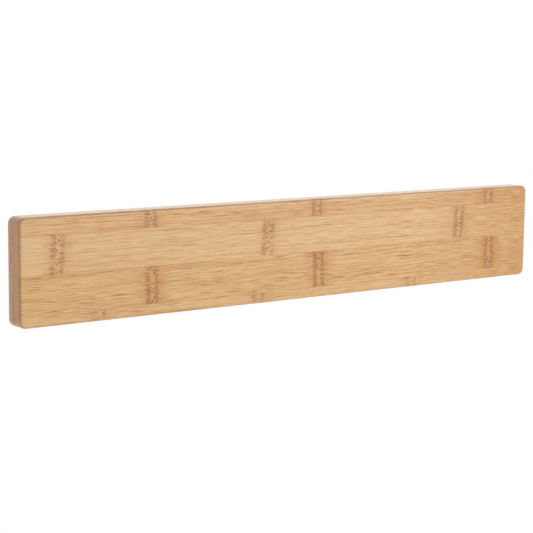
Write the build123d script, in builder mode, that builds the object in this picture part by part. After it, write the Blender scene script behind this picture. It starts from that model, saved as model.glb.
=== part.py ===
"""A bamboo magnetic knife bar for a kitchen wall.

The bar is three plies of bamboo: face strips along it, upright core slats, and back strips along it. A
pocket milled from the back holds two rows of magnets and their steel yoke, under a bamboo cover. Two
keyhole plates near the ends hang the bar on wall screws.

Millimetres. The origin is the middle of the back face, which lies on the wall. X runs along the bar,
the face that holds the knives looks along -Y, and Z is up.
"""

import os
from math import ceil

from build123d import *

# The bar
BAR_LENGTH = 380.0
BAR_HEIGHT = 60.0
CORNER_RADIUS = 4.0  # of the bar's outline, seen from the front
FACE_EASING = 1.5  # rounding round the edge of the face
BACK_EASING = 3.0  # rounding round the edge of the back

# The three plies, from the face to the back
FACE_PLY = 5.0
CORE_PLY = 5.0
BACK_PLY = 5.0

# Bamboo strips and slats
STRIP_WIDTH = 21.65
TOP_STRIP_WIDTH = 10.2  # the panel is cut down to the bar, so its first strip is a part strip
SLAT_WIDTH = 20.0

# Magnets, in two rows
MAGNET_LENGTH = 37.0
MAGNET_HEIGHT = 14.0
MAGNET_THICKNESS = 6.0
MAGNET_CHAMFER = 0.5
MAGNET_GAP = 3.0  # between neighbours in a row
ROW_GAP = 6.0  # between the two rows
YOKE_THICKNESS = 2.5
YOKE_EASING = 0.4
FACE_WEB = 2.5  # bamboo left between the magnets and the face

# The pocket for them
END_LAND = 45.0  # timber left whole at each end
CUTTER_RADIUS = 5.0  # the router bit that leaves the pocket's corners
POCKET_CLEARANCE = 0.3  # round the yoke and the magnets
COVER_LEDGE = 3.0  # the shoulder that the cover sits on
COVER_CLEARANCE = 0.1

# Keyhole plates
HANG_INSET = 30.0  # from the end of the bar to a keyhole
PLATE_WIDTH = 16.0
PLATE_LENGTH = 40.0
PLATE_THICKNESS = 1.5
PLATE_CORNER = 4.0
PLATE_CLEARANCE = 0.15
ENTRY_RADIUS = 4.75
SLOT_WIDTH = 4.5
HANG_TRAVEL = 10.0  # from the middle of the entry hole up to the seat of the slot
HEAD_ROOM_WIDTH = 12.0  # hollow behind the plate, for the head of the wall screw
HEAD_ROOM_DEPTH = 7.0
HEAD_ROOM_MARGIN = 0.25  # round a head as wide as the entry hole

# The screws of the plates
SCREW_RADIUS = 1.5
SCREW_LENGTH = 9.0
SCREW_HEAD_RADIUS = 2.8
SCREW_TIP = 2.0
SCREW_CLEARANCE = 0.1  # between the shank and the plate
PILOT_MARGIN = 0.5  # the pilot hole goes this much deeper than the screw
CROSS_LENGTH = 3.0
CROSS_WIDTH = 0.7
CROSS_DEPTH = 0.8

# Worked out from the above
BAR_THICKNESS = FACE_PLY + CORE_PLY + BACK_PLY
MAGNET_PITCH = MAGNET_LENGTH + MAGNET_GAP
POCKET_ROOM = BAR_LENGTH - 2 * END_LAND
MAGNETS_PER_ROW = int((POCKET_ROOM - 2 * CUTTER_RADIUS + MAGNET_GAP) // MAGNET_PITCH)
ROW_LENGTH = MAGNETS_PER_ROW * MAGNET_PITCH - MAGNET_GAP
ROW_OFFSET = (MAGNET_HEIGHT + ROW_GAP) / 2
ROWS_HEIGHT = 2 * MAGNET_HEIGHT + ROW_GAP
POCKET_LENGTH = ROW_LENGTH + 2 * CUTTER_RADIUS
POCKET_HEIGHT = ROWS_HEIGHT + 2 * POCKET_CLEARANCE
POCKET_DEPTH = BAR_THICKNESS - FACE_WEB
COVER_THICKNESS = POCKET_DEPTH - MAGNET_THICKNESS - YOKE_THICKNESS
REBATE_LENGTH = POCKET_LENGTH + 2 * COVER_LEDGE
REBATE_HEIGHT = POCKET_HEIGHT + 2 * COVER_LEDGE
REBATE_CORNER = CUTTER_RADIUS + COVER_LEDGE
HANG_X = BAR_LENGTH / 2 - HANG_INSET
ENTRY_Z = -HANG_TRAVEL / 2
HEAD_ROOM_LENGTH = HANG_TRAVEL + 2 * (ENTRY_RADIUS + HEAD_ROOM_MARGIN)
PLATE_SCREW_Z = (HEAD_ROOM_LENGTH / 2 + PLATE_LENGTH / 2) / 2  # midway from the head room to the plate's end
SIDES = {"left": -HANG_X, "right": HANG_X}
SCREW_PLACES = [(x, z) for x in SIDES.values() for z in (-PLATE_SCREW_Z, PLATE_SCREW_Z)]

# The back face, drawn on as seen from the front: what is extruded from it goes into the bar.
BACK = Plane.XZ
# The same face looking out to the wall, which is how holes are drilled.
WALL_SIDE = Plane(origin=(0, 0, 0), x_dir=(-1, 0, 0), z_dir=(0, 1, 0))


def finish(piece, name):
    """Labels a finished piece and writes its file."""
    piece.part.label = name
    export_step(piece.part, f"parts/{name}.step")


def make_blank():
    """The bar's outer form, with every edge eased."""
    with BuildPart() as blank:
        with BuildSketch(BACK):
            RectangleRounded(BAR_LENGTH, BAR_HEIGHT, CORNER_RADIUS)
        extrude(amount=BAR_THICKNESS)
        fillet(blank.faces().sort_by(Axis.Y).first.edges(), radius=FACE_EASING)
        fillet(blank.faces().sort_by(Axis.Y).last.edges(), radius=BACK_EASING)
    return blank.part


def make_hollows():
    """All that is milled and drilled into the back of the glued-up bar."""
    with BuildPart() as hollows:
        with BuildSketch(BACK):
            RectangleRounded(REBATE_LENGTH, REBATE_HEIGHT, REBATE_CORNER)
        extrude(amount=COVER_THICKNESS)
        with BuildSketch(BACK):
            RectangleRounded(POCKET_LENGTH, POCKET_HEIGHT, CUTTER_RADIUS)
        extrude(amount=POCKET_DEPTH)
        with BuildSketch(BACK):
            with Locations(*[(x, 0) for x in SIDES.values()]):
                RectangleRounded(
                    PLATE_WIDTH + 2 * PLATE_CLEARANCE,
                    PLATE_LENGTH + 2 * PLATE_CLEARANCE,
                    PLATE_CORNER + PLATE_CLEARANCE,
                )
        extrude(amount=PLATE_THICKNESS)
        with BuildSketch(BACK):
            with Locations(*[(x, 0) for x in SIDES.values()]):
                SlotOverall(HEAD_ROOM_LENGTH, HEAD_ROOM_WIDTH, rotation=90)
        extrude(amount=PLATE_THICKNESS + HEAD_ROOM_DEPTH)
        with BuildSketch(BACK):
            with Locations(*SCREW_PLACES):
                Circle(SCREW_RADIUS)
        extrude(amount=SCREW_LENGTH + PILOT_MARGIN)
    return hollows.part


def make_lamella(name, blank, hollows, across, depth, along):
    """A strip or slat: the part of the milled bar between two X, two depths from the back, and two Z."""
    size = (across[1] - across[0], depth[1] - depth[0], along[1] - along[0])
    middle = (sum(across) / 2, -sum(depth) / 2, sum(along) / 2)
    with BuildPart() as lamella:
        with Locations(middle):
            Box(*size)
        add(blank, mode=Mode.INTERSECT)
        add(hollows, mode=Mode.SUBTRACT)
    finish(lamella, name)


def face_joints():
    """The heights of the glue lines between the face strips, with the bar's top and bottom at the ends."""
    joints = [BAR_HEIGHT / 2]
    lower = BAR_HEIGHT / 2 - TOP_STRIP_WIDTH
    while lower > -BAR_HEIGHT / 2:
        joints.append(lower)
        lower -= STRIP_WIDTH
    return [*joints, -BAR_HEIGHT / 2]


def make_face_strips(blank, hollows):
    across = (-BAR_LENGTH / 2, BAR_LENGTH / 2)
    depth = (CORE_PLY + BACK_PLY, BAR_THICKNESS)
    joints = face_joints()
    for i in range(len(joints) - 1):
        make_lamella(f"front_strip_{i + 1}", blank, hollows, across, depth, (joints[i + 1], joints[i]))


def make_core_slats(blank, hollows):
    """Upright slats side by side. Where the pocket crosses one, its upper and lower ends are left."""
    depth = (BACK_PLY, BACK_PLY + CORE_PLY)
    along = (-BAR_HEIGHT / 2, BAR_HEIGHT / 2)
    count = ceil(BAR_LENGTH / SLAT_WIDTH)
    for i in range(count):
        left = -BAR_LENGTH / 2 + i * SLAT_WIDTH
        right = min(left + SLAT_WIDTH, BAR_LENGTH / 2)
        make_lamella(f"core_slat_{i + 1:02d}", blank, hollows, (left, right), depth, along)


def make_back_strips(blank, hollows):
    """A strip above and one below run the whole length. The pocket leaves only the ends of the middle one."""
    depth = (0, BACK_PLY)
    half = BAR_LENGTH / 2
    joint = STRIP_WIDTH / 2
    make_lamella("back_strip_top", blank, hollows, (-half, half), depth, (joint, BAR_HEIGHT / 2))
    make_lamella("back_strip_bottom", blank, hollows, (-half, half), depth, (-BAR_HEIGHT / 2, -joint))
    make_lamella("back_strip_left", blank, hollows, (-half, 0), depth, (-joint, joint))
    make_lamella("back_strip_right", blank, hollows, (0, half), depth, (-joint, joint))


def make_cover():
    """Two bamboo strips glued edge to edge, let in flush over the magnets."""
    length = REBATE_LENGTH - 2 * COVER_CLEARANCE
    height = REBATE_HEIGHT - 2 * COVER_CLEARANCE
    corner = REBATE_CORNER - COVER_CLEARANCE
    for name, side in (("cover_strip_upper", 1), ("cover_strip_lower", -1)):
        with BuildPart() as strip:
            with BuildSketch(BACK):
                RectangleRounded(length, height, corner)
                with Locations((0, side * height / 4)):
                    Rectangle(length, height / 2, mode=Mode.INTERSECT)
            extrude(amount=COVER_THICKNESS)
        finish(strip, name)


def make_yoke():
    """A flat of mild steel across the backs of the magnets."""
    with BuildPart() as yoke:
        with BuildSketch(BACK.offset(COVER_THICKNESS)):
            Rectangle(ROW_LENGTH, ROWS_HEIGHT)
        extrude(amount=YOKE_THICKNESS)
        fillet(yoke.edges().filter_by(Axis.Y), radius=YOKE_EASING)
    finish(yoke, "steel_yoke")


def make_magnets():
    """Block magnets on the yoke, in an upper and a lower row."""
    for row, z in (("upper", ROW_OFFSET), ("lower", -ROW_OFFSET)):
        for i in range(MAGNETS_PER_ROW):
            x = (i - (MAGNETS_PER_ROW - 1) / 2) * MAGNET_PITCH
            with BuildPart() as magnet:
                with BuildSketch(BACK.offset(COVER_THICKNESS + YOKE_THICKNESS)):
                    with Locations((x, z)):
                        Rectangle(MAGNET_LENGTH, MAGNET_HEIGHT)
                extrude(amount=MAGNET_THICKNESS)
                chamfer(magnet.edges(), length=MAGNET_CHAMFER)
            finish(magnet, f"magnet_{row}_{i + 1}")


def make_plates():
    """Keyhole plates: the head of a wall screw goes in at the entry hole and the bar drops onto it."""
    for side, x in SIDES.items():
        with BuildPart() as plate:
            with BuildSketch(BACK):
                with Locations((x, 0)):
                    RectangleRounded(PLATE_WIDTH, PLATE_LENGTH, PLATE_CORNER)
                    SlotCenterToCenter(HANG_TRAVEL, SLOT_WIDTH, rotation=90, mode=Mode.SUBTRACT)
                with Locations((x, ENTRY_Z)):
                    Circle(ENTRY_RADIUS, mode=Mode.SUBTRACT)
            extrude(amount=PLATE_THICKNESS)
            with Locations(WALL_SIDE):
                with Locations((-x, PLATE_SCREW_Z), (-x, -PLATE_SCREW_Z)):
                    CounterSinkHole(
                        radius=SCREW_RADIUS + SCREW_CLEARANCE,
                        counter_sink_radius=SCREW_HEAD_RADIUS,
                        depth=PLATE_THICKNESS,
                        counter_sink_angle=90,
                    )
        finish(plate, f"keyhole_plate_{side}")


def make_plate_screws():
    """Four countersunk screws with a cross recess, flush with the back of the plates."""
    neck = SCREW_HEAD_RADIUS - SCREW_RADIUS  # a 90 degree cone is as deep as it narrows
    with BuildPart() as screw:
        with BuildSketch():
            with BuildLine():
                Polyline(
                    (0, 0),
                    (SCREW_HEAD_RADIUS, 0),
                    (SCREW_RADIUS, -neck),
                    (SCREW_RADIUS, -SCREW_LENGTH + SCREW_TIP),
                    (0, -SCREW_LENGTH),
                    close=True,
                )
            make_face()
        revolve(axis=Axis.Y)
        with BuildSketch(BACK):
            Rectangle(CROSS_LENGTH, CROSS_WIDTH)
            Rectangle(CROSS_WIDTH, CROSS_LENGTH)
        extrude(amount=CROSS_DEPTH, mode=Mode.SUBTRACT)
    with BuildPart() as screws:
        with Locations(*[(x, 0, z) for x, z in SCREW_PLACES]):
            add(screw.part)
    finish(screws, "plate_screws")


def main():
    os.makedirs("parts", exist_ok=True)
    blank = make_blank()
    hollows = make_hollows()
    make_face_strips(blank, hollows)
    make_core_slats(blank, hollows)
    make_back_strips(blank, hollows)
    make_cover()
    make_yoke()
    make_magnets()
    make_plates()
    make_plate_screws()


main()
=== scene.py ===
"""The looks of the bamboo magnetic knife bar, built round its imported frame.

Metres, in the frame's own axes: X along the bar, the face that holds the knives looks along -Y, Z up.
Patterns are worked out in millimetres.
"""

import math
from dataclasses import dataclass

import bmesh
import bpy
from mathutils import Matrix, Vector


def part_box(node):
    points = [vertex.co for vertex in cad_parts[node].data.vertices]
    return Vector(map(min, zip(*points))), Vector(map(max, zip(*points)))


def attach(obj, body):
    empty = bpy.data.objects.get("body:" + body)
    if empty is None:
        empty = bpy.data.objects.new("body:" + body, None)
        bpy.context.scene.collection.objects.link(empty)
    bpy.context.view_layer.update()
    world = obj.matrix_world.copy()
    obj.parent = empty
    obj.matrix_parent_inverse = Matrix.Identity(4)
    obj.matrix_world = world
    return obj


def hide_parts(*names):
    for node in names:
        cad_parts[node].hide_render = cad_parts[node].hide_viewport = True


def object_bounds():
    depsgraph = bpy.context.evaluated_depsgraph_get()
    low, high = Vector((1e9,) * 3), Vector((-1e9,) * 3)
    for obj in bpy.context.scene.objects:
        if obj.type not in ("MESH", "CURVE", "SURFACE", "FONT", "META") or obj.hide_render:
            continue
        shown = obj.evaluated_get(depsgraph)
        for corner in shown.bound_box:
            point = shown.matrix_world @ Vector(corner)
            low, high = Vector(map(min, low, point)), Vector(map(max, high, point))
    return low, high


MM = 0.001

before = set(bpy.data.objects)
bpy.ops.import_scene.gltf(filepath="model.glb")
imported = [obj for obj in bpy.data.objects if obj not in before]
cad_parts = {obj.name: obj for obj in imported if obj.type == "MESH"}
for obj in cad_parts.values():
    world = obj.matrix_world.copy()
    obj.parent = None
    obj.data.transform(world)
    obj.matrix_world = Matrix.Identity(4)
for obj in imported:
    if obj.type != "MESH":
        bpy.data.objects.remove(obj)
cad_box = [list(corner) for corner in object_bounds()]
bar_low, bar_high = (Vector(corner) for corner in cad_box)
bar_middle = (bar_low + bar_high) / 2

# The bar's form
CORNER_RADIUS = 4.0 * MM  # of the outline, seen from the front
FACE_EASING = 1.5 * MM
BACK_EASING = 3.0 * MM
ARC_STEPS = 10

# What is milled into its back
CUTTER_RADIUS = 5.0 * MM
POCKET_CLEARANCE = 0.3 * MM
COVER_LEDGE = 3.0 * MM
COVER_CLEARANCE = 0.1 * MM
PLATE_CLEARANCE = 0.15 * MM
PLATE_CORNER = 4.0 * MM
HEAD_ROOM_WIDTH = 12.0 * MM
HEAD_ROOM_LENGTH = 20.0 * MM
HEAD_ROOM_DEPTH = 7.0 * MM

# Keyholes, screws and magnets
ENTRY_RADIUS = 4.75 * MM
KEY_SLOT_WIDTH = 4.5 * MM
HANG_TRAVEL = 10.0 * MM
SCREW_RADIUS = 1.5 * MM
SCREW_HEAD_RADIUS = 2.8 * MM
SCREW_LENGTH = 9.0 * MM
SCREW_TIP = 2.0 * MM
SCREW_CLEARANCE = 0.1 * MM
PILOT_MARGIN = 0.5 * MM
THREAD_PITCH = 1.1 * MM
THREAD_ROOT = 1.05 * MM
THREAD_FLANK = 0.22  # of the pitch, from a ridge's crest to its foot
THREAD_RINGS = 8  # to a pitch
SCREW_SIDES = 24
HEAD_BREAK = 0.1 * MM  # broken edge of a screw's head
POINT_SHARE = 0.02  # of the thread's radius, left at the very tip
CROSS_LENGTH = 3.0 * MM
CROSS_WIDTH = 0.7 * MM
CROSS_DEPTH = 0.8 * MM
CROSS_TAPER = 0.1 * MM
CROSS_MOUTH_CORNER = 0.15 * MM
CROSS_FLOOR_CORNER = 0.05 * MM
MAGNET_CHAMFER = 0.5 * MM
YOKE_EASING = 0.4 * MM
EDGE_BREAK = 0.15 * MM  # on sanded and stamped edges

CUTTER_SPARE = 1.0 * MM  # how far a cutter stands out of what it cuts
SHARP_ANGLE = math.radians(35)
SAME_PLACE = 1e-7  # points nearer than this are one point

AXES = {"x": 0, "y": 1, "z": 2}


# Meshes


def new_piece(name, bm, material):
    """A finished bmesh as an object at the origin, smooth except across sharp edges."""
    bmesh.ops.recalc_face_normals(bm, faces=bm.faces[:])
    mesh = bpy.data.meshes.new(name)
    bm.to_mesh(mesh)
    bm.free()
    mesh.materials.append(material)
    mesh.shade_smooth()
    mesh.set_sharp_from_angle(angle=SHARP_ANGLE)
    piece = bpy.data.objects.new(name, mesh)
    bpy.context.collection.objects.link(piece)
    return piece


def rounded_outline(centre, half_x, half_z, radius, steps=ARC_STEPS):
    """Points round a rounded rectangle in X and Z. One step to a corner leaves it cut straight across."""
    points = []
    for quarter, (side_x, side_z) in enumerate(((1, 1), (-1, 1), (-1, -1), (1, -1))):
        for step in range(steps + 1):
            turn = (quarter + step / steps) * math.pi / 2
            x = centre[0] + side_x * (half_x - radius) + radius * math.cos(turn)
            z = centre[1] + side_z * (half_z - radius) + radius * math.sin(turn)
            points.append((x, z))
    return points


def loft(levels):
    """A closed bmesh through outlines of equal count: levels is a list of (y, points)."""
    bm = bmesh.new()
    rings = [[bm.verts.new((x, y, z)) for x, z in points] for y, points in levels]
    count = len(rings[0])
    for near, far in zip(rings, rings[1:]):
        for i in range(count):
            j = (i + 1) % count
            bm.faces.new((near[i], near[j], far[j], far[i]))
    bm.faces.new(rings[0])
    bm.faces.new(rings[-1][::-1])
    bmesh.ops.remove_doubles(bm, verts=bm.verts[:], dist=SAME_PLACE)
    return bm


def inset_at(y):
    """How far the eased bar's outline has drawn in at a depth."""
    inset = 0.0
    for easing, gap in ((FACE_EASING, y - bar_low.y), (BACK_EASING, bar_high.y - y)):
        if gap < easing:
            inset = easing - math.sqrt(easing**2 - (easing - gap) ** 2)
    return inset


def bar_layer(near_y, far_y):
    """The part of the eased bar between two depths, as a bmesh."""
    depths = {near_y, far_y}
    for step in range(ARC_STEPS + 1):
        turn = step / ARC_STEPS * math.pi / 2
        depths.add(bar_low.y + FACE_EASING * (1 - math.cos(turn)))
        depths.add(bar_high.y - BACK_EASING * (1 - math.cos(turn)))
    levels = []
    for y in sorted(d for d in depths if near_y <= d <= far_y):
        inset = inset_at(y)
        half_x = (bar_high.x - bar_low.x) / 2 - inset
        half_z = (bar_high.z - bar_low.z) / 2 - inset
        outline = rounded_outline((bar_middle.x, bar_middle.z), half_x, half_z, CORNER_RADIUS - inset)
        levels.append((y, outline))
    return loft(levels)


def split(bm, place, normal, clear_outer=False):
    """Cuts a bmesh along a plane, and drops what lies past it when clear_outer is set."""
    geometry = bm.verts[:] + bm.edges[:] + bm.faces[:]
    bmesh.ops.bisect_plane(
        bm, geom=geometry, dist=SAME_PLACE, plane_co=place, plane_no=normal, clear_outer=clear_outer
    )


def trim(bm, low, high):
    """Cuts a bmesh to a box's X and Z limits and closes the cuts."""
    for axis in (AXES["x"], AXES["z"]):
        for limit, side in ((low[axis], -1), (high[axis], 1)):
            place, normal = Vector((0, 0, 0)), Vector((0, 0, 0))
            place[axis], normal[axis] = limit, side
            split(bm, place, normal, clear_outer=True)
            bmesh.ops.holes_fill(bm, edges=[e for e in bm.edges if e.is_boundary])
    return bm


def slab(centre, half_x, half_z, radius, near_y, far_y, edge=0.0, steps=ARC_STEPS):
    """A rounded rectangle between two depths, with its near and far edges broken by edge."""
    levels = [(near_y, -edge), (near_y + edge, 0.0), (far_y - edge, 0.0), (far_y, -edge)]
    if edge == 0:
        levels = [(near_y, 0.0), (far_y, 0.0)]
    return loft(
        [(y, rounded_outline(centre, half_x + g, half_z + g, radius + g, steps)) for y, g in levels]
    )


def keyhole(centre, grow):
    """Points round a keyhole: the entry hole with the slot going up from it."""
    x, entry_z, seat_z = centre[0], centre[1] - HANG_TRAVEL / 2, centre[1] + HANG_TRAVEL / 2
    half = KEY_SLOT_WIDTH / 2 + grow
    radius = ENTRY_RADIUS + grow
    points = []
    for step in range(2 * ARC_STEPS + 1):
        turn = step / (2 * ARC_STEPS) * math.pi
        points.append((x + half * math.cos(turn), seat_z + half * math.sin(turn)))
    start = math.pi / 2 + math.asin(half / radius)
    sweep = 2 * math.pi - 2 * math.asin(half / radius)
    for step in range(4 * ARC_STEPS + 1):
        turn = start + step / (4 * ARC_STEPS) * sweep
        points.append((x + radius * math.cos(turn), entry_z + radius * math.sin(turn)))
    return points


def ring(centre, radii):
    """Points round a centre in X and Z, one for each radius."""
    turns = [2 * math.pi * i / len(radii) for i in range(len(radii))]
    return [(centre[0] + r * math.cos(t), centre[1] + r * math.sin(t)) for r, t in zip(radii, turns)]


def turned(centre, profile, steps=48):
    """A solid turned about a Y axis: profile is a list of (y, radius)."""
    return loft([(y, ring(centre, [radius] * steps)) for y, radius in profile])


def cut(piece, cutters):
    """Takes the cutters' shapes out of a piece."""
    for i, bm in enumerate(cutters):
        tool = new_piece(f"cutter_{i}", bm, piece.data.materials[0])
        modifier = piece.modifiers.new("cut", "BOOLEAN")
        modifier.operation = "DIFFERENCE"
        modifier.solver = "EXACT"
        modifier.object = tool
    evaluated = piece.evaluated_get(bpy.context.evaluated_depsgraph_get())
    mesh = bpy.data.meshes.new_from_object(evaluated)
    mesh.name = piece.name
    tools = [m.object for m in piece.modifiers]
    piece.modifiers.clear()
    piece.data = mesh
    for tool in tools:
        bpy.data.objects.remove(tool)
    mesh.shade_smooth()
    mesh.set_sharp_from_angle(angle=SHARP_ANGLE)
    return piece


# Colour and pattern


def srgb(code):
    """An sRGB hex colour as linear RGBA."""
    parts = [int(code[i : i + 2], 16) / 255 for i in (0, 2, 4)]
    return [p / 12.92 if p <= 0.04045 else ((p + 0.055) / 1.055) ** 2.4 for p in parts] + [1.0]


def add_node(tree, kind, *values, output=0, stops=(), **named):
    """Adds a node with its settings and links, and returns one of its outputs.

    Values fill its inputs in order. A name with a capital is an input too, and one without is a property.
    Stops are a colour ramp's: (place, grey level or hex colour).
    """
    node = tree.nodes.new(kind)
    for name in [name for name in named if name[0].islower()]:
        setattr(node, name, named[name])
    given = list(zip([socket for socket in node.inputs if socket.enabled], values))
    given += [(node.inputs[name.replace("_", " ")], named[name]) for name in named if name[0].isupper()]
    for socket, value in given:
        if isinstance(value, bpy.types.NodeSocket):
            tree.links.new(value, socket)
        else:
            socket.default_value = srgb(value) if isinstance(value, str) else value
    for i, (place, value) in enumerate(stops):
        ramp = node.color_ramp
        stop = ramp.elements[i] if i < 2 else ramp.elements.new(1.0)
        stop.position = place
        stop.color = srgb(value) if isinstance(value, str) else (value, value, value, 1.0)
    return node.outputs[output] if node.outputs else node


def new_material(name, roughness, ior=1.5, metallic=0.0):
    """A material with its node tree and its shader, whose even values are set."""
    material = bpy.data.materials.new(name)
    material.use_nodes = True
    shader = material.node_tree.nodes["Principled BSDF"]
    shader.inputs["Roughness"].default_value = roughness
    shader.inputs["IOR"].default_value = ior
    shader.inputs["Metallic"].default_value = metallic
    return material, material.node_tree, shader


def in_millimetres(tree, grain):
    """Object coordinates in millimetres: along, across and through the grain."""
    place = add_node(tree, "ShaderNodeTexCoord", output="Object")
    scaled = add_node(tree, "ShaderNodeVectorMath", place, Scale=1 / MM, operation="SCALE")
    x, y, z = add_node(tree, "ShaderNodeSeparateXYZ", scaled).node.outputs
    return (x, z, y) if grain == "x" else (z, x, y)


def spread(tree, space, sizes):
    """A vector whose unit is a patch of these sizes in mm: along, across and through the grain."""
    parts = []
    for way, size in zip(space, sizes):
        parts.append(add_node(tree, "ShaderNodeMath", way, size, operation="DIVIDE"))
    return add_node(tree, "ShaderNodeCombineXYZ", *parts)


def streaks(tree, space, sizes, seed, detail=2.0):
    """Noise from 0 to 1, drawn out along the grain in patches of these sizes in mm."""
    vector = spread(tree, space, sizes)
    values = {"W": seed, "Scale": 1.0, "Detail": detail, "Roughness": 0.55}
    return add_node(tree, "ShaderNodeTexNoise", vector, noise_dimensions="4D", **values)


def weighted(tree, base, *parts, clamp=False):
    """A base level plus each noise's distance from its middle, times its weight."""
    total = base
    for weight, noise in parts:
        centred = add_node(tree, "ShaderNodeMath", noise, 0.5, operation="SUBTRACT")
        total = add_node(
            tree, "ShaderNodeMath", centred, weight, total, operation="MULTIPLY_ADD", use_clamp=clamp
        )
    return total


def tint(tree, colour, amount, share, other):
    """A colour taken towards another by a share of an amount."""
    part = add_node(tree, "ShaderNodeMath", amount, share, operation="MULTIPLY", use_clamp=True)
    return add_node(tree, "ShaderNodeMix", part, colour, other, output="Result", data_type="RGBA")


# Bamboo

# Carbonised bamboo: the cane is steamed brown, sawn into strips, planed, glued up, sanded and lacquered
# satin. The eye gets fine brown fibres along each strip, a darker knuckle across it every 150 mm or so
# with a row of open vessels, and dots where a strip is cut across. The rounded edges get painted shade:
# a darker colour where the eased edges turn from the light.

BAMBOO_IOR = 1.5
WOOD_ROUGHNESS = 0.6
LACQUER_ROUGHNESS = 0.28
LACQUER_WEIGHT = 0.7
GRAIN_RELIEF = 0.06 * MM

# The figure's parts, as sizes in mm along, across and through the grain. Bundles are about as wide as a
# cane's. The fibres in them are finer than can be seen, so they are drawn as coarse as they need to show.
WANDER_SIZE = (30, 5, 7)
BAND_SIZE = (80, 5, 5)
BUNDLE_SIZE = (60, 0.5, 0.8)
FIBRE_SIZE = (11, 0.34, 0.5)
END_BUNDLE_SIZE = (60, 0.95, 1.1)

# The same for what a knuckle adds.
FLARE_SIZE = (9, 4, 4)
FRAY_SIZE = (3, 0.8, 0.8)
TOOTH_SIZE = (7, 0.55, 0.6)
PATCH_SIZE = (40, 5, 5)
VESSEL_SIZE = (1.7, 1.8, 2)
DOT_RADIUS = 0.32  # of a vessel or a cut bundle, in its own cell

# The figure's level goes from dark at 0 to pale at 1, and each part moves it by its weight.
FIGURE_PLACES = (0.15, 0.36, 0.55, 0.85)  # of a strip's colours, dark to pale
FIGURE_LEVEL = 0.53
BAND_WEIGHT = 0.2
BUNDLE_WEIGHT = 1.15
FIBRE_WEIGHT = 1.35
STRAY = 4.0  # mm from side to side that fibres wander, in a strip whose waviness is 1
KNUCKLE_STRAY = 7.0  # the same beside a knuckle

# Levels across a knuckle, by mm from its middle.
KNUCKLE_REACH = 14.0  # how far to each side its marks may go
BROWN_STAIN = [(-9, 0), (-5, 0.4), (-3, 1), (1.6, 0.5), (3.4, 1), (5, 0.4), (9, 0)]
BROWN_FIBRES = [(-5, 0), (-3.8, 0.8), (-2.2, 1), (-1.2, 0.3), (1.2, 0.3), (2.2, 1), (3.4, 0.9), (4.6, 0)]
PALE_PITH = [(-2.0, 0), (-1.0, 1), (1.2, 1), (2.0, 0)]
OPEN_VESSELS = [(-2.4, 0), (-1.6, 1), (1.6, 1), (2.4, 0)]
FLAMES = [(-14, 0), (-5, 1), (5, 1), (14, 0)]
SWELLING = [(-14, 0), (-6, 1), (-3, 0.3), (3, 0.3), (6, 1), (14, 0)]

# The levels of a knuckle's marks, and how much they follow each noise.
COMB_LEVEL, COMB_BY_TEETH, COMB_BY_PATCHES = 0.5, 7.0, 1.6
FLAME_LEVEL, FLAMES_BY_BUNDLES, FLAMES_BY_PATCHES = 0.35, 6.0, 2.0
RAGGED_BY_FRAYING, RAGGED_BY_TEETH = 3.0, 5.0  # in mm along the grain
VESSEL_DROP = 0.4  # of the grain's relief

# What the figure is tinted with, and how far.
STEAMED_FROM, STEAMED_TO = 90.0, 180.0  # the panel took more steam towards this end, in mm
STEAMED_COLOUR = "BA7A28"
# Painted shade: the rounded edges are darkened towards this colour where they turn from the light.
ARRIS_SHADE_COLOUR, ARRIS_SHADE_SHARE = "9C6A3A", 0.3
VESSEL_COLOUR, VESSEL_SHARE = "783A04", 0.75
STAIN_COLOUR, STAIN_SHARE = "C07C28", 0.5
STEAMED_STAIN = 0.35  # how much more stain the steamed end has
FRAY_COLOUR, FRAY_SHARE = "96540A", 0.85
FLAME_SHARE = 0.75
PITH_SHARE = 0.3
END_GRAIN_COLOUR = "C89158"
END_VESSEL_COLOUR, END_VESSEL_SHARE = "865A33", 0.6
END_BAND_SHARE = 0.5
GLUE_LINE_COLOUR, GLUE_LINE_SHARE = "A9794A", 0.35
GLUE_LINE_BY_BUNDLES = 1.5
GLUE_LINE_WIDTH = 0.35  # mm on each side of a joint


@dataclass
class Strip:
    """A bamboo strip's own figure, with its knuckles in mm from the bar's middle."""

    name: str
    grain: str  # the axis that its fibres follow
    seed: float
    colours: tuple  # from pale to dark
    contrast: float = 1.0
    waviness: float = 0.5
    knuckles: tuple = ()
    lean: float = 0.0
    strength: float = 1.0  # of the knuckles' marks


FACE_FIGURES = [  # from the top strip down
    dict(
        colours=("E4BC88", "DBAD76", "CA904F", "A2641C"),
        contrast=0.9,
        waviness=0.4,
        knuckles=(-107.6, 11.0, 154.5),
    ),
    dict(
        colours=("E9C694", "DFB680", "D09A58", "A86C26"),
        contrast=0.75,
        waviness=0.25,
        knuckles=(-167.5, -26.0, 128.0),
        lean=0.06,
        strength=0.95,
    ),
    dict(
        colours=("E5BE88", "DAAD71", "C88E49", "985C18"),
        contrast=0.9,
        waviness=0.8,
        knuckles=(-107.0, 12.5, 156.0),
        lean=-0.03,
        strength=1.2,
    ),
    dict(
        colours=("E3BD89", "DBAF78", "CB9453", "A46824"),
        contrast=0.85,
        waviness=0.6,
        knuckles=(-141.0, -32.5, 88.5),
        strength=0.45,
    ),
]
CORE_COLOURS = ("D0A068", "C38E54", "AE7840", "8A5828")
BACK_COLOURS = ("DDB987", "D3AB76", "C2925C", "A27240")
BACK_KNUCKLES = {
    "top": (-118.0, 31.0, 171.0),
    "bottom": (-72.0, 83.0),
    "left": (-178.0,),
    "right": (141.0,),
}
COVER_COLOURS = ("E3C496", "DAB685", "C99F6C", "AD8152")
COVER_KNUCKLES = {"cover_strip_upper": (-62.0, 94.0), "cover_strip_lower": (-131.0, 22.0)}


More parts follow.
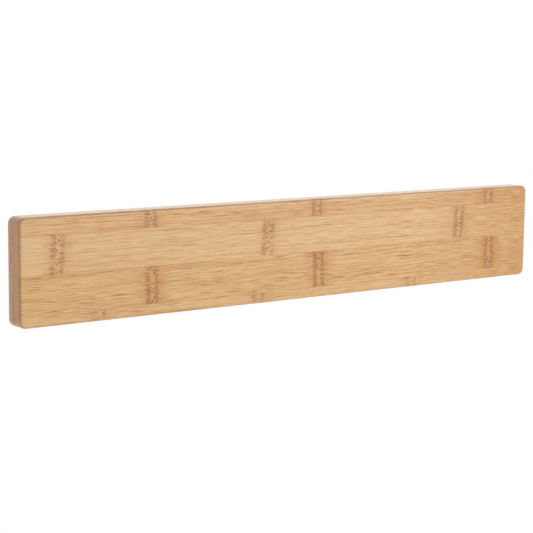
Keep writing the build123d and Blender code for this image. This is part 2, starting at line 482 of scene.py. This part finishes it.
def from_knuckle(tree, space, strip):
    """Millimetres along the grain from the nearest knuckle, which may lean across the strip."""
    along, across, _ = space
    straight = add_node(tree, "ShaderNodeMath", across, -strip.lean, along, operation="MULTIPLY_ADD")
    nearest = None
    for place in strip.knuckles:
        offset = add_node(tree, "ShaderNodeMath", straight, place, operation="SUBTRACT")
        if nearest is None:
            nearest = offset
            continue
        gaps = [add_node(tree, "ShaderNodeMath", way, operation="ABSOLUTE") for way in (offset, nearest)]
        closer = add_node(tree, "ShaderNodeMath", *gaps, operation="LESS_THAN")
        nearest = add_node(tree, "ShaderNodeMix", closer, nearest, offset, data_type="FLOAT")
    return nearest


def across_knuckle(tree, offset, levels):
    """A level read off against millimetres from a knuckle's middle."""
    reach = KNUCKLE_REACH
    place = add_node(tree, "ShaderNodeMath", offset, 0.5 / reach, 0.5, operation="MULTIPLY_ADD")
    stops = [((mm + reach) / (2 * reach), level) for mm, level in levels]
    return add_node(tree, "ShaderNodeValToRGB", place, stops=stops)


def dots(tree, space, sizes):
    """One round dot in each cell of these sizes in mm."""
    cells = add_node(tree, "ShaderNodeTexVoronoi", spread(tree, space, sizes), Scale=1.0)
    return add_node(tree, "ShaderNodeMath", cells, DOT_RADIUS, operation="LESS_THAN")


def wandering(tree, space, strip, offset):
    """The strip's space with its fibres wandering sideways, and most where a knuckle swells the cane."""
    along, across, through = space
    wander = streaks(tree, space, WANDER_SIZE, strip.seed, 1.0)
    moved = weighted(tree, across, (strip.waviness * STRAY, wander))
    if strip.knuckles:
        swell = across_knuckle(tree, offset, SWELLING)
        flare = streaks(tree, space, FLARE_SIZE, strip.seed + 5, 1.0)
        most = strip.waviness * KNUCKLE_STRAY
        sideways = add_node(tree, "ShaderNodeMath", swell, most, operation="MULTIPLY")
        moved = weighted(tree, moved, (sideways, flare))
    return along, moved, through


def mark_knuckles(tree, space, strip, offset, bundles, steamed, colour):
    """The marks of the knuckles: brown flames and stain, a pale middle, frayed fibres like a comb's teeth,
    and open vessels. Returns the colour with them and the vessels' level."""
    frayed = streaks(tree, space, FRAY_SIZE, strip.seed + 4)
    teeth = streaks(tree, space, TOOTH_SIZE, strip.seed + 7, 1.0)
    patches = streaks(tree, space, PATCH_SIZE, strip.seed + 6, 1.0)
    by_noise = (COMB_BY_TEETH, teeth), (COMB_BY_PATCHES, patches)
    comb = weighted(tree, COMB_LEVEL * strip.strength, *by_noise, clamp=True)
    by_noise = (FLAMES_BY_BUNDLES, bundles), (FLAMES_BY_PATCHES, patches)
    flames = weighted(tree, FLAME_LEVEL, *by_noise, clamp=True)
    near = across_knuckle(tree, offset, FLAMES)
    flames = add_node(tree, "ShaderNodeMath", near, flames, operation="MULTIPLY")
    colour = tint(tree, colour, flames, FLAME_SHARE * strip.waviness, STAIN_COLOUR)
    offset = weighted(tree, offset, (RAGGED_BY_FRAYING, frayed), (RAGGED_BY_TEETH, teeth))
    stain = across_knuckle(tree, offset, BROWN_STAIN)
    brown = across_knuckle(tree, offset, BROWN_FIBRES)
    brown = add_node(tree, "ShaderNodeMath", brown, comb, operation="MULTIPLY")
    more = STEAMED_STAIN * strip.strength
    stained = weighted(tree, STAIN_SHARE * strip.strength, (more, steamed))
    colour = tint(tree, colour, stain, stained, STAIN_COLOUR)
    colour = tint(tree, colour, across_knuckle(tree, offset, PALE_PITH), PITH_SHARE, strip.colours[0])
    colour = tint(tree, colour, brown, FRAY_SHARE, FRAY_COLOUR)
    row = across_knuckle(tree, offset, OPEN_VESSELS)
    vessels = add_node(tree, "ShaderNodeMath", dots(tree, space, VESSEL_SIZE), row, operation="MULTIPLY")
    colour = tint(tree, colour, vessels, VESSEL_SHARE * strip.strength, VESSEL_COLOUR)
    return colour, vessels


def finish_edges(tree, space, strip, bands, bundles, colour):
    """The colour with the dots of the sawn ends, painted shade on the rounded edges and the glue lines."""
    end = add_node(tree, "ShaderNodeAttribute", output="Fac", attribute_name="end_grain")
    cut_bundles = dots(tree, space, END_BUNDLE_SIZE)
    sawn = tint(tree, END_GRAIN_COLOUR, cut_bundles, END_VESSEL_SHARE, END_VESSEL_COLOUR)
    sawn = tint(tree, sawn, bands, END_BAND_SHARE, strip.colours[2])
    colour = tint(tree, colour, end, 1.0, sawn)
    # Painted shade on the rounded edges, darker the further their normal turns from the nearest axis.
    rounded = add_node(tree, "ShaderNodeAttribute", output="Fac", attribute_name="arris")
    colour = tint(tree, colour, rounded, ARRIS_SHADE_SHARE, ARRIS_SHADE_COLOUR)
    joint = add_node(tree, "ShaderNodeAttribute", output="Fac", attribute_name="glue_line")
    glued = weighted(tree, GLUE_LINE_SHARE, (GLUE_LINE_BY_BUNDLES, bundles))
    return tint(tree, colour, joint, glued, GLUE_LINE_COLOUR)


def bamboo(strip):
    """The bamboo of one strip."""
    name = f"bamboo_carbonised_satin_lacquered_{strip.name}"
    material, tree, shader = new_material(name, WOOD_ROUGHNESS, BAMBOO_IOR)
    space = in_millimetres(tree, strip.grain)
    along = space[0]
    offset = from_knuckle(tree, space, strip)
    space = wandering(tree, space, strip, offset)

    bands = streaks(tree, space, BAND_SIZE, strip.seed + 1, 1.0)
    bundles = streaks(tree, space, BUNDLE_SIZE, strip.seed + 2, 1.0)
    fibres = streaks(tree, space, FIBRE_SIZE, strip.seed + 3, 1.0)
    fine = (BUNDLE_WEIGHT * strip.contrast, bundles), (FIBRE_WEIGHT * strip.contrast, fibres)
    level = weighted(tree, FIGURE_LEVEL, (BAND_WEIGHT, bands), *fine)
    figure = list(zip(FIGURE_PLACES, reversed(strip.colours)))
    colour = add_node(tree, "ShaderNodeValToRGB", level, stops=figure)
    height = weighted(tree, 0.5, (0.6, fibres), (0.4, bundles))
    steamed = add_node(tree, "ShaderNodeMapRange", along, From_Min=STEAMED_FROM, From_Max=STEAMED_TO)
    share = weighted(tree, 0.5, (1.0, bands), (-2.0, fibres), clamp=True)
    colour = tint(tree, colour, steamed, share, STEAMED_COLOUR)
    if strip.knuckles:
        colour, vessels = mark_knuckles(tree, space, strip, offset, bundles, steamed, colour)
        height = add_node(tree, "ShaderNodeMath", vessels, -VESSEL_DROP, height, operation="MULTIPLY_ADD")
    colour = finish_edges(tree, space, strip, bands, bundles, colour)

    tree.links.new(colour, shader.inputs["Base Color"])
    tree.links.new(weighted(tree, WOOD_ROUGHNESS, (0.25, bundles)), shader.inputs["Roughness"])
    shader.inputs["Coat Weight"].default_value = LACQUER_WEIGHT
    shader.inputs["Coat Roughness"].default_value = LACQUER_ROUGHNESS
    bump = add_node(tree, "ShaderNodeBump", Strength=0.35, Distance=GRAIN_RELIEF, Height=height)
    tree.links.new(bump, shader.inputs["Normal"])
    return material


# Metal and magnet

PLATING_ROUGHNESS = 0.32
ROLLED_ROUGHNESS = 0.42
FERRITE_ROUGHNESS = 0.55
FERRITE_IOR = 2.0

# Their patterns, as sizes in mm along, up and through the bar. Scratches and lines are finer than can be
# seen, so they are drawn as coarse as they need to show.
PLATING_CLOUDS = (5, 5, 5)
TUMBLING_SCRATCHES = (2.5, 0.18, 0.18)
ROLLING_LINES = (60, 0.3, 0.3)
ROLLING_CLOUDS = (25, 9, 9)
FERRITE_CLOUDS = (6, 6, 6)
GRINDING_LINES = (14, 0.25, 0.25)
PITS = (1.1, 1.1, 1.1)
PIT_RADIUS = 0.12  # in its own cell
SCRATCH_RELIEF = 0.02 * MM
PIT_RELIEF = 0.05 * MM


def zinc_plated_steel():
    """Mild steel, stamped, barrel-tumbled and bright zinc plated: a pale bluish metal with cloudy patches
    and short tumbling scratches that catch the light."""
    material, tree, shader = new_material("mild_steel_bright_zinc_plated", PLATING_ROUGHNESS, metallic=1.0)
    space = in_millimetres(tree, "x")
    clouds = streaks(tree, space, PLATING_CLOUDS, 301.0)
    colour = add_node(tree, "ShaderNodeValToRGB", clouds, stops=[(0.3, "A8ADB1"), (0.7, "BABEC1")])
    tree.links.new(colour, shader.inputs["Base Color"])
    scratches = streaks(tree, space, TUMBLING_SCRATCHES, 302.0, 3.0)
    roughness = weighted(tree, PLATING_ROUGHNESS, (0.15, clouds), (0.35, scratches))
    tree.links.new(roughness, shader.inputs["Roughness"])
    bump = add_node(tree, "ShaderNodeBump", Strength=0.35, Distance=SCRATCH_RELIEF, Height=scratches)
    tree.links.new(bump, shader.inputs["Normal"])
    return material


def rolled_steel():
    """Mild steel flat, cold rolled and sawn to length: dull grey with fine rolling lines along it."""
    material, tree, shader = new_material("mild_steel_cold_rolled", ROLLED_ROUGHNESS, metallic=1.0)
    space = in_millimetres(tree, "x")
    lines = streaks(tree, space, ROLLING_LINES, 311.0, 3.0)
    clouds = streaks(tree, space, ROLLING_CLOUDS, 312.0)
    level = weighted(tree, 0.5, (0.6, lines), (0.8, clouds))
    colour = add_node(tree, "ShaderNodeValToRGB", level, stops=[(0.25, "7C7E80"), (0.75, "A0A2A4")])
    tree.links.new(colour, shader.inputs["Base Color"])
    roughness = weighted(tree, ROLLED_ROUGHNESS, (0.3, lines), (0.2, clouds))
    tree.links.new(roughness, shader.inputs["Roughness"])
    bump = add_node(tree, "ShaderNodeBump", Strength=0.3, Distance=SCRATCH_RELIEF, Height=lines)
    tree.links.new(bump, shader.inputs["Normal"])
    return material


def ferrite():
    """Strontium ferrite, pressed, sintered and ground: a charcoal ceramic with fine grinding lines and
    small pits, duller than metal."""
    name = "strontium_ferrite_sintered_ground"
    material, tree, shader = new_material(name, FERRITE_ROUGHNESS, FERRITE_IOR)
    space = in_millimetres(tree, "x")
    clouds = streaks(tree, space, FERRITE_CLOUDS, 321.0)
    lines = streaks(tree, space, GRINDING_LINES, 322.0)
    level = weighted(tree, 0.5, (0.7, clouds), (0.5, lines))
    colour = add_node(tree, "ShaderNodeValToRGB", level, stops=[(0.25, "2A2A2D"), (0.8, "434347")])
    tree.links.new(colour, shader.inputs["Base Color"])
    tree.links.new(weighted(tree, FERRITE_ROUGHNESS, (0.25, lines)), shader.inputs["Roughness"])
    pits = add_node(tree, "ShaderNodeTexVoronoi", spread(tree, space, PITS), Scale=1.0)
    pits = add_node(tree, "ShaderNodeMath", pits, PIT_RADIUS, operation="GREATER_THAN")
    height = weighted(tree, pits, (0.5, lines))
    bump = add_node(tree, "ShaderNodeBump", Strength=0.5, Distance=PIT_RELIEF, Height=height)
    tree.links.new(bump, shader.inputs["Normal"])
    return material


# Pieces of wood

# A surface counts as sawn across from the first of these to the second, by how squarely it faces along
# the grain, and as rounded by how far its normal has turned from the nearest axis. How rounded it is
# sets the painted shade on the eased edges.
SAWN_FROM, SAWN_TO = 0.55, 0.95
ROUNDED_TURN = 0.12
AT_A_JOINT = 0.01 * MM  # a point nearer than this to a glued joint is on it


def stand_for(piece, *nodes):
    """Rides a piece with the bar in place of CAD nodes, and hides those nodes."""
    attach(piece, "root")
    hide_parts(*nodes)


def mark_surfaces(piece, grain, seams=()):
    """Writes on a piece's corners how squarely they face along the grain and how far they are round an
    eased edge, which sets the painted shade there, and on its points whether they are on a glue line."""
    mesh = piece.data
    along = AXES[grain]
    normals = [[abs(part) for part in normal.vector] for normal in mesh.corner_normals]
    ends = [min(1.0, max(0.0, (normal[along] - SAWN_FROM) / (SAWN_TO - SAWN_FROM))) for normal in normals]
    turns = [min(1.0, (1 - max(normal)) / ROUNDED_TURN) for normal in normals]
    mesh.attributes.new("end_grain", "FLOAT", "CORNER").data.foreach_set("value", ends)
    # How far round an eased edge: the mask of the painted shade on the rounded edges.
    mesh.attributes.new("arris", "FLOAT", "CORNER").data.foreach_set("value", turns)
    on_line = [float(any(abs(v.co.z - z) < AT_A_JOINT for z in seams)) for v in mesh.vertices]
    mesh.attributes.new("glue_line", "FLOAT", "POINT").data.foreach_set("value", on_line)


def middle_of(node):
    """The X and Z of a node's middle."""
    low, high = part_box(node)
    return (low[0] + high[0]) / 2, (low[2] + high[2]) / 2


def screw_heights():
    """The heights of the plates' lower and upper screws."""
    low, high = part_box("plate_screws")
    return low[2] + SCREW_HEAD_RADIUS, high[2] - SCREW_HEAD_RADIUS


def pocket_cutters(low, high, back):
    """The magnets' pocket and the cover's rebate, where they reach into a box."""
    yoke_low, yoke_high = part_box("steel_yoke")
    cover_low, cover_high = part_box("cover_strip_lower")[0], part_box("cover_strip_upper")[1]
    pocket_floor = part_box("magnet_upper_1")[0][1]
    centre = (bar_middle.x, bar_middle.z)
    half_x = (yoke_high[0] - yoke_low[0]) / 2 + CUTTER_RADIUS
    half_z = (yoke_high[2] - yoke_low[2]) / 2 + POCKET_CLEARANCE
    found = []
    if high[1] > pocket_floor and low[0] < half_x and high[0] > -half_x:
        found.append(slab(centre, half_x, half_z, CUTTER_RADIUS, pocket_floor, back))
    if high[1] > cover_low[1] + CUTTER_SPARE:
        ledge = (cover_high[2] - cover_low[2]) / 2 + COVER_CLEARANCE - half_z
        corner = CUTTER_RADIUS + ledge
        found.append(slab(centre, half_x + ledge, half_z + ledge, corner, cover_low[1], back))
    return found


def keyhole_cutters(side, low, high, back):
    """One plate's recess, the room behind it for the wall screw's head, and its screws' pilot holes."""
    plate_low, plate_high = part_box(f"keyhole_plate_{side}")
    middle = middle_of(f"keyhole_plate_{side}")
    found = []
    if high[0] < plate_low[0] or low[0] > plate_high[0]:
        return found
    if high[1] > plate_low[1]:
        half_x = (plate_high[0] - plate_low[0]) / 2 + PLATE_CLEARANCE
        half_z = (plate_high[2] - plate_low[2]) / 2 + PLATE_CLEARANCE
        corner = PLATE_CORNER + PLATE_CLEARANCE
        found.append(slab(middle, half_x, half_z, corner, plate_low[1], back))
    room_floor = plate_low[1] - HEAD_ROOM_DEPTH
    if high[1] > room_floor:
        half = HEAD_ROOM_WIDTH / 2
        found.append(slab(middle, half, HEAD_ROOM_LENGTH / 2, half, room_floor, back))
    pilot_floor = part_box("plate_screws")[0][1] - PILOT_MARGIN
    if high[1] > pilot_floor:
        for z in screw_heights():
            found.append(turned((middle[0], z), [(pilot_floor, SCREW_RADIUS), (back, SCREW_RADIUS)]))
    return found


def hollows(node):
    """The cutters of all that is milled and drilled into a strip or slat."""
    low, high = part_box(node)
    back = bar_high.y + CUTTER_SPARE
    found = pocket_cutters(low, high, back)
    for side in ("left", "right"):
        found += keyhole_cutters(side, low, high, back)
    return found


def add_seam_bands(bm, seams):
    """Splits a strip's faces a glue line's width from each of its seams."""
    for z in seams:
        for side in (-1, 1):
            split(bm, Vector((0, 0, z + side * GLUE_LINE_WIDTH * MM)), Vector((0, 0, 1)))


def lamella(name, node, strip, seams=()):
    """A strip or slat: the eased bar cut to its node's box, with the hollows that reach it."""
    low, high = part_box(node)
    bm = trim(bar_layer(low[1], high[1]), low, high)
    add_seam_bands(bm, seams)
    piece = new_piece(name, bm, bamboo(strip))
    cutters = hollows(node)
    if cutters:
        cut(piece, cutters)
    mark_surfaces(piece, strip.grain, seams)
    stand_for(piece, node)


def make_panel():
    """The three plies of the bar. Each strip has a seed of its own, so that no two look the same."""
    face_nodes = sorted(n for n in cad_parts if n.startswith("front_strip"))
    for i, (node, figure) in enumerate(zip(face_nodes, FACE_FIGURES)):
        low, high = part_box(node)
        seams = [z for z in (low[2], high[2]) if bar_low.z + MM < z < bar_high.z - MM]
        lamella(f"face_strip_{i + 1}", node, Strip(f"face_{i + 1}", "x", 3.0 + 11.0 * i, **figure), seams)
    for i, node in enumerate(sorted(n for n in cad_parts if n.startswith("core_slat"))):
        strip = Strip(f"core_{i + 1}", "z", 50.0 + 3.0 * i, CORE_COLOURS)
        lamella(f"core_slat_piece_{i + 1:02d}", node, strip)
    for i, (side, knuckles) in enumerate(BACK_KNUCKLES.items()):
        marks = {"contrast": 0.8, "knuckles": knuckles, "lean": 0.03, "strength": 0.8}
        strip = Strip(f"back_{side}", "x", 150.0 + 7.0 * i, BACK_COLOURS, **marks)
        lamella(f"back_strip_piece_{side}", f"back_strip_{side}", strip)


def make_cover():
    """Two strips let in flush over the magnets, their arrises broken with fine paper."""
    low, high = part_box("cover_strip_lower")[0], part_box("cover_strip_upper")[1]
    half_x, half_z = (high[0] - low[0]) / 2, (high[2] - low[2]) / 2
    corner = CUTTER_RADIUS + COVER_LEDGE - COVER_CLEARANCE
    for i, (node, knuckles) in enumerate(COVER_KNUCKLES.items()):
        marks = {"contrast": 0.8, "waviness": 0.6, "knuckles": knuckles, "lean": 0.02, "strength": 0.9}
        strip = Strip(node, "x", 190.0 + 5.0 * i, COVER_COLOURS, **marks)
        bm = slab((bar_middle.x, bar_middle.z), half_x, half_z, corner, low[1], high[1], EDGE_BREAK)
        piece = new_piece(f"{node}_piece", trim(bm, *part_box(node)), bamboo(strip))
        mark_surfaces(piece, "x")
        stand_for(piece, node)


# Plates, screws, magnets and yoke


def plate_cutters(x, z, near, far):
    """A plate's keyhole with its broken edges, and its countersunk screw holes."""
    ease = EDGE_BREAK
    edges = [(near - CUTTER_SPARE, ease), (near, ease), (near + ease, 0)]
    edges += [(far - ease, 0), (far, ease), (far + CUTTER_SPARE, ease)]
    hole = SCREW_RADIUS + SCREW_CLEARANCE
    sink = [(near - CUTTER_SPARE, hole), (far - (SCREW_HEAD_RADIUS - hole), hole)]
    sink += [(far, SCREW_HEAD_RADIUS), (far + CUTTER_SPARE, SCREW_HEAD_RADIUS)]
    keyhole_cutter = loft([(y, keyhole((x, z), grow)) for y, grow in edges])
    return [keyhole_cutter] + [turned((x, height), sink) for height in screw_heights()]


def make_plates(finish):
    """Stamped keyhole plates with broken edges."""
    for side in ("left", "right"):
        node = f"keyhole_plate_{side}"
        low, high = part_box(node)
        x, z = middle_of(node)
        half_x, half_z = (high[0] - low[0]) / 2, (high[2] - low[2]) / 2
        bm = slab((x, z), half_x, half_z, PLATE_CORNER, low[1], high[1], EDGE_BREAK)
        plate = new_piece(f"{node}_piece", bm, finish)
        stand_for(cut(plate, plate_cutters(x, z, low[1], high[1])), node)


def thread_radii(depth):
    """The radii round a screw's thread at a depth, drawn in towards its tip."""
    narrowing = min(1.0, (SCREW_LENGTH - depth) / SCREW_TIP + POINT_SHARE)
    radii = []
    for side in range(SCREW_SIDES):
        phase = (depth / THREAD_PITCH - side / SCREW_SIDES) % 1.0
        ridge = max(0.0, 1 - abs(phase - 0.5) / THREAD_FLANK)
        radii.append((THREAD_ROOT + (SCREW_RADIUS - THREAD_ROOT) * ridge) * narrowing)
    return radii


def countersunk_screw(finish):
    """One screw at the origin, head at the back: a cone head with a cross recess, and a tapering thread."""
    neck = SCREW_HEAD_RADIUS - SCREW_RADIUS
    rim = SCREW_HEAD_RADIUS - HEAD_BREAK
    shoulder = 0.6 * HEAD_BREAK
    depths = [(0.0, rim), (shoulder, SCREW_HEAD_RADIUS - shoulder), (neck, SCREW_RADIUS)]
    levels = [(-depth, ring((0, 0), [radius] * SCREW_SIDES)) for depth, radius in depths]
    count = round((SCREW_LENGTH - neck) / THREAD_PITCH * THREAD_RINGS)
    for i in range(1, count + 1):
        depth = neck + (SCREW_LENGTH - neck) * i / count
        levels.append((-depth, ring((0, 0), thread_radii(depth))))
    screw = new_piece("countersunk_screw", loft(levels), finish)
    blades = []
    for half_x, half_z in ((CROSS_LENGTH / 2, CROSS_WIDTH / 2), (CROSS_WIDTH / 2, CROSS_LENGTH / 2)):
        floor_x, floor_z = half_x - CROSS_TAPER, half_z - CROSS_TAPER
        floor = rounded_outline((0, 0), floor_x, floor_z, CROSS_FLOOR_CORNER, 2)
        mouth = rounded_outline((0, 0), half_x, half_z, CROSS_MOUTH_CORNER, 2)
        blades.append(loft([(-CROSS_DEPTH, floor), (0, mouth), (CUTTER_SPARE, mouth)]))
    return cut(screw, blades)


def rows_tree():
    """Geometry nodes that set copies of a piece out in rows across X and Z, each turned about Y by
    chance."""
    tree = bpy.data.node_groups.new("set_out_in_rows", "GeometryNodeTree")
    tree.interface.new_socket("Geometry", in_out="OUTPUT", socket_type="NodeSocketGeometry")
    kinds = {"Geometry": "Geometry", "Piece": "Object", "Columns": "Int", "Rows": "Int"}
    kinds |= {"Column Pitch": "Float", "Row Pitch": "Float", "Middle": "Vector"}
    kinds |= {"Turn": "Float", "Seed": "Int", "Finish": "Material"}
    for name, kind in kinds.items():
        tree.interface.new_socket(name, in_out="INPUT", socket_type=f"NodeSocket{kind}")
    given = {socket.name: socket for socket in add_node(tree, "NodeGroupInput").node.outputs}
    sides = []
    for count, pitch in (("Columns", "Column Pitch"), ("Rows", "Row Pitch")):
        gaps = add_node(tree, "ShaderNodeMath", given[count], 1.0, operation="SUBTRACT")
        sides.append(add_node(tree, "ShaderNodeMath", gaps, given[pitch], operation="MULTIPLY"))
    grid = add_node(tree, "GeometryNodeMeshGrid", *sides, given["Columns"], given["Rows"])
    upright = (math.pi / 2, 0, 0)
    grid = add_node(tree, "GeometryNodeTransform", grid, Translation=given["Middle"], Rotation=upright)
    piece = add_node(tree, "GeometryNodeObjectInfo", given["Piece"], output="Geometry")
    most = add_node(tree, "ShaderNodeCombineXYZ", 0.0, given["Turn"], 0.0)
    limits = {"Min": (0, 0, 0), "Max": most, "Seed": given["Seed"]}
    turn = add_node(tree, "FunctionNodeRandomValue", data_type="FLOAT_VECTOR", **limits)
    copies = add_node(tree, "GeometryNodeInstanceOnPoints", grid, Instance=piece, Rotation=turn)
    real = add_node(tree, "GeometryNodeRealizeInstances", copies)
    finished = add_node(tree, "GeometryNodeSetMaterial", real, Material=given["Finish"])
    add_node(tree, "NodeGroupOutput", finished)
    return tree


def set_out(name, tree, source, finish, **values):
    """Copies of a source piece in rows, as one plain mesh."""
    piece = bpy.data.objects.new(name, bpy.data.meshes.new(name))
    bpy.context.collection.objects.link(piece)
    modifier = piece.modifiers.new("rows", "NODES")
    modifier.node_group = tree
    values = {"Piece": source, "Finish": finish, **{key.replace("_", " "): values[key] for key in values}}
    for socket in tree.interface.items_tree:
        if socket.in_out == "INPUT" and socket.name in values:
            modifier[socket.identifier] = values[socket.name]
    evaluated = piece.evaluated_get(bpy.context.evaluated_depsgraph_get())
    mesh = bpy.data.meshes.new_from_object(evaluated)
    mesh.name = name
    piece.modifiers.clear()
    piece.data = mesh
    mesh.shade_smooth()
    mesh.set_sharp_from_angle(angle=SHARP_ANGLE)
    bpy.data.objects.remove(source)
    return piece


def make_plate_screws(tree, finish):
    """The four screws, their recesses turned by chance."""
    left, right = (middle_of(f"keyhole_plate_{side}")[0] for side in ("left", "right"))
    lower, upper = screw_heights()
    screws = set_out(
        "plate_screw_set",
        tree,
        countersunk_screw(finish),
        finish,
        Columns=2,
        Rows=2,
        Column_Pitch=right - left,
        Row_Pitch=upper - lower,
        Middle=((left + right) / 2, bar_high.y, (lower + upper) / 2),
        Turn=math.tau,
        Seed=4,
    )
    stand_for(screws, "plate_screws")


def make_magnets(tree, finish):
    """The two rows of block magnets, as long as the frame has them."""
    nodes = sorted(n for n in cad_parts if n.startswith("magnet_"))
    low, high = (Vector(corner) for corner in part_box("magnet_upper_1"))
    size = high - low
    next_x, lower_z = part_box("magnet_upper_2")[0][0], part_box("magnet_lower_1")[0][2]
    block = slab((0, 0), size.x / 2, size.z / 2, MAGNET_CHAMFER, low.y, high.y, MAGNET_CHAMFER, 1)
    magnets = set_out(
        "magnet_rows",
        tree,
        new_piece("magnet", block, finish),
        finish,
        Columns=len(nodes) // 2,
        Rows=2,
        Column_Pitch=next_x - low.x,
        Row_Pitch=low.z - lower_z,
        Middle=(bar_middle.x, 0.0, bar_middle.z),
        Turn=0.0,
        Seed=0,
    )
    stand_for(magnets, *nodes)


def make_yoke(finish):
    """The steel flat across the backs of the magnets."""
    low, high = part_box("steel_yoke")
    half_x, half_z = (high[0] - low[0]) / 2, (high[2] - low[2]) / 2
    bm = slab((bar_middle.x, bar_middle.z), half_x, half_z, YOKE_EASING, low[1], high[1], EDGE_BREAK)
    stand_for(new_piece("steel_yoke_piece", bm, finish), "steel_yoke")


# Stage: a plain pale floor, soft studio light and the camera.

AMBIENT = 0.43
FLOOR_HALF = 1.2
FLOOR_GLOW = 0.40  # lit evenly from below, as on a light table
FLOOR_DROP = 0.35  # the bar hangs, so the floor is well below it
PAPER_COLOUR, PAPER_ROUGHNESS = "F7F7F7", 0.9
SOFTBOXES = [  # name, place, aimed at, width, height, power in watts
    ("front_right", (1.2, -1.6, 0.7), (0, 0, 0), 1.2, 1.2, 19),
    ("backdrop", (0.6, 2.2, 0.6), (0, 0, 0.1), 3.2, 1.8, 11),
]
CAMERA_AIM = (-14.6 * MM, 1.4 * MM, -11.2 * MM)
CAMERA_DISTANCE = 0.9491
CAMERA_TURN = math.radians(36.70)  # round to the left of the face
CAMERA_TILT = math.radians(8.20)  # looking down
CAMERA_ROLL = math.radians(0.65)
SENSOR_WIDTH = 36.0
FOCAL_LENGTH = 105.83


def make_world():
    """Pale surroundings: white to the eye and in gloss, and dimmer as a light."""
    world = bpy.data.worlds.new("studio")
    world.use_nodes = True
    tree = world.node_tree
    tree.nodes.clear()
    lighting = add_node(tree, "ShaderNodeLightPath", output="Is Diffuse Ray")
    strength = add_node(tree, "ShaderNodeMapRange", lighting, To_Min=1.0, To_Max=AMBIENT)
    light = add_node(tree, "ShaderNodeBackground", "FFFFFF", strength)
    add_node(tree, "ShaderNodeOutputWorld", light)
    bpy.context.scene.world = world
    bpy.context.scene.view_settings.view_transform = "Standard"


def make_softboxes():
    """Rectangular area lights, each turned to what it is aimed at."""
    for name, place, target, width, height, power in SOFTBOXES:
        data = bpy.data.lights.new(name, "AREA")
        data.shape = "RECTANGLE"
        data.size, data.size_y, data.energy = width, height, power
        light = bpy.data.objects.new(name, data)
        light.location = place
        light.rotation_euler = (Vector(target) - Vector(place)).to_track_quat("-Z", "Y").to_euler()
        bpy.context.collection.objects.link(light)


def make_floor():
    """White paper, matt, lit from below."""
    mesh = bpy.data.meshes.new("floor")
    half, z = FLOOR_HALF, bar_low.z - FLOOR_DROP
    corners = [(-half, -half, z), (half, -half, z), (half, half, z), (-half, half, z)]
    mesh.from_pydata(corners, [], [(0, 1, 2, 3)])
    material, _, shader = new_material("paper_matt_white", PAPER_ROUGHNESS)
    shader.inputs["Base Color"].default_value = srgb(PAPER_COLOUR)
    shader.inputs["Emission Color"].default_value = srgb("FFFFFF")
    shader.inputs["Emission Strength"].default_value = FLOOR_GLOW
    mesh.materials.append(material)
    floor = bpy.data.objects.new("floor", mesh)
    bpy.context.collection.objects.link(floor)


def make_camera():
    """A long lens, turned and tilted round the point it is aimed at."""
    data = bpy.data.cameras.new("camera")
    data.sensor_width, data.lens = SENSOR_WIDTH, FOCAL_LENGTH
    camera = bpy.data.objects.new("camera", data)
    bpy.context.collection.objects.link(camera)
    turned_to_aim = (
        Matrix.Rotation(-CAMERA_TURN, 4, "Z")
        @ Matrix.Rotation(math.pi / 2 - CAMERA_TILT, 4, "X")
        @ Matrix.Rotation(CAMERA_ROLL, 4, "Z")
    )
    camera.matrix_world = (
        Matrix.Translation(CAMERA_AIM) @ turned_to_aim @ Matrix.Translation((0, 0, CAMERA_DISTANCE))
    )
    bpy.context.scene.camera = camera


make_panel()
make_cover()
plating = zinc_plated_steel()
make_plates(plating)
in_rows = rows_tree()
make_plate_screws(in_rows, plating)
make_magnets(in_rows, ferrite())
make_yoke(rolled_steel())
make_world()
make_softboxes()
make_floor()
make_camera()
